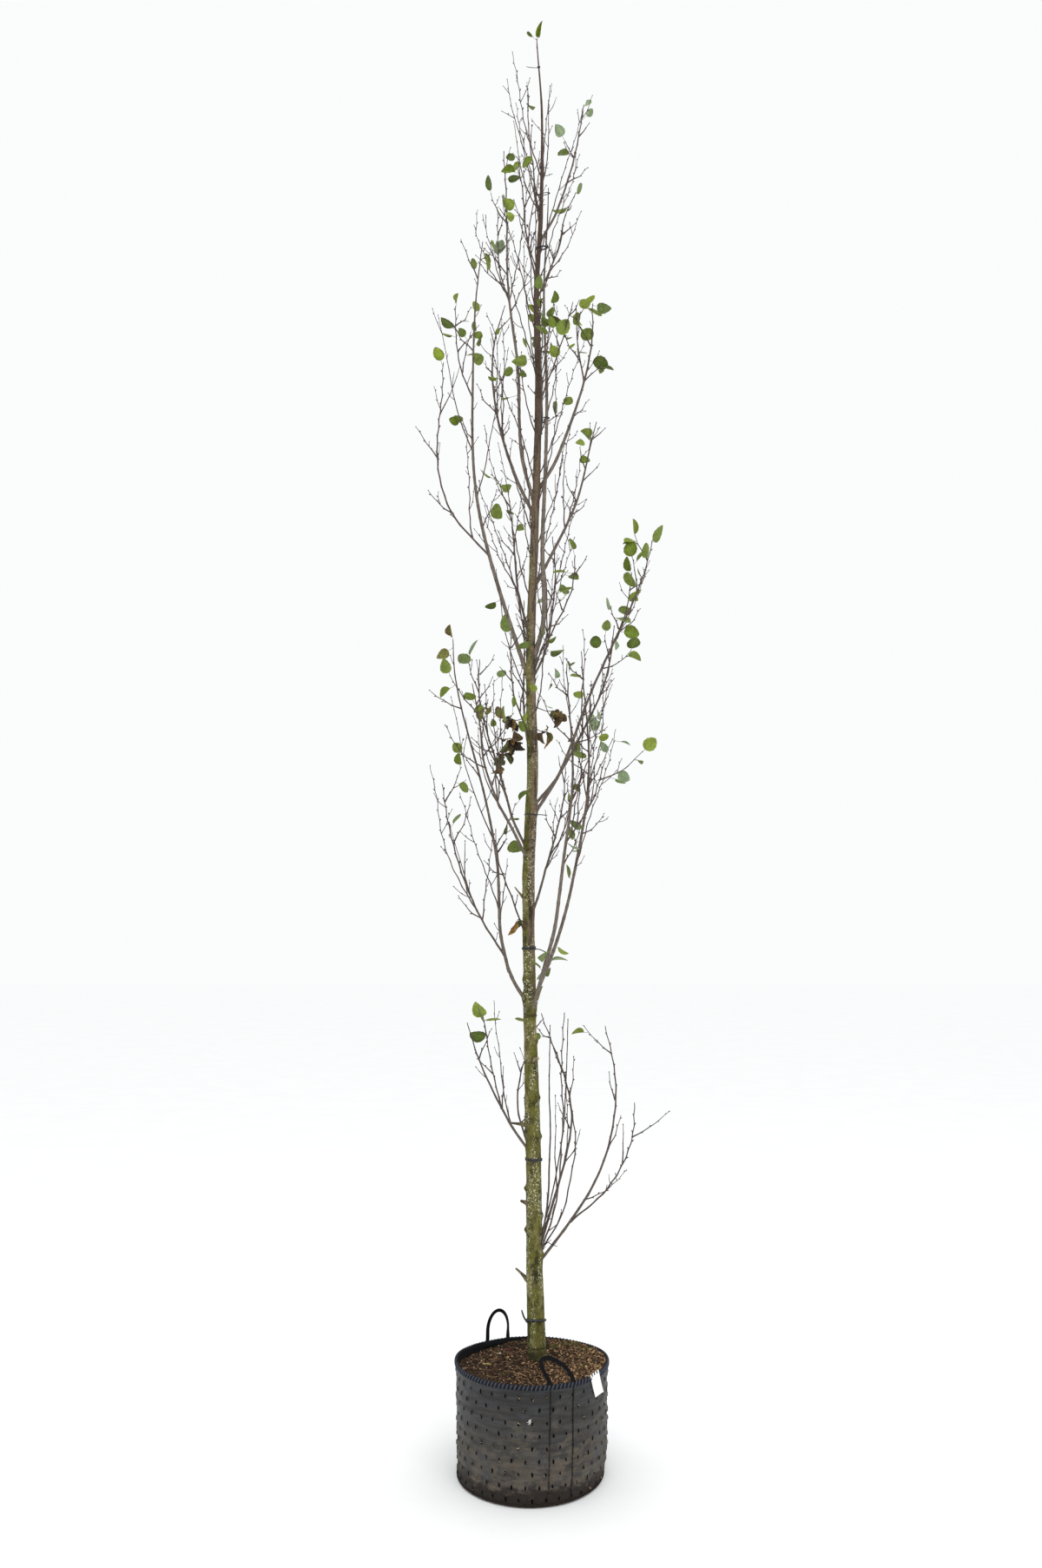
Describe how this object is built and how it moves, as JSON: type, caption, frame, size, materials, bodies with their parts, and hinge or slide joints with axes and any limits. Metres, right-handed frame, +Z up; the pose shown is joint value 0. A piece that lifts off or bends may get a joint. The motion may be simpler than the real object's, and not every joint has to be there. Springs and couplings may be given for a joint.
{
  "type": "young tree in a nursery grow bag",
  "caption": "Young upright broadleaf tree with a tapering trunk, steep boughs, sparse round leaves, standing in a round fabric-looped grow bag of soil.",
  "frame": {"origin": "middle of the bag's flat underside", "axes": "+Z up along the trunk, +X to the right and -Y to the front as the picture shows it"},
  "size_m": [0.7961, 0.6595, 4.6536],
  "materials": {
    "trunk_bark": "matte",
    "bough_bark": "matte",
    "foliage": "satin",
    "bag": "satin",
    "webbing": "matte",
    "soil": "matte",
    "tag": "satin"
  },
  "bodies": {
    "root": {"bag_hem": "webbing", "bag_wall": "bag", "bough_back_left": "bough_bark", "bough_back_mid": "bough_bark", "bough_back_right": "bough_bark", "bough_front_right": "bough_bark", "bough_left_bowed": "bough_bark", "bough_left_crown": "bough_bark", "bough_left_front": "bough_bark", "bough_left_long": "bough_bark", "bough_left_tall": "bough_bark", "bough_left_upright": "bough_bark", "bough_long_right": "bough_bark", "bough_low_back": "bough_bark", "bough_low_left": "bough_bark", "bough_low_right": "bough_bark", "bough_right_back": "bough_bark", "bough_right_crown": "bough_bark", "bough_right_front": "bough_bark", "bough_right_high": "bough_bark", "bough_right_inner": "bough_bark", "bough_right_top": "bough_bark", "co_leader": "bough_bark", "foliage_back_crown": "foliage", "foliage_back_left": "foliage", "foliage_back_mid": "foliage", "foliage_back_right": "foliage", "foliage_crown_tip": "foliage", "foliage_front_arch": "foliage", "foliage_front_crown": "foliage", "foliage_front_inner": "foliage", "foliage_front_right": "foliage", "foliage_front_spray": "foliage", "foliage_left_back": "foliage", "foliage_left_bowed": "foliage", "foliage_left_crown": "foliage", "foliage_left_front": "foliage", "foliage_left_long": "foliage", "foliage_left_tall": "foliage", "foliage_left_tip": "foliage", "foliage_left_top": "foliage", "foliage_left_upright": "foliage", "foliage_long_right": "foliage", "foliage_low_back": "foliage", "foliage_low_inner": "foliage", "foliage_low_left": "foliage", "foliage_low_right": "foliage", "foliage_right_back": "foliage", "foliage_right_crown": "foliage", "foliage_right_front": "foliage", "foliage_right_high": "foliage", "foliage_right_inner": "foliage", "foliage_right_tip": "foliage", "foliage_right_top": "foliage", "loop_back": "webbing", "loop_front": "webbing", "soil": "soil", "tag": "tag", "trunk": "trunk_bark"}
  },
  "joints": []
}
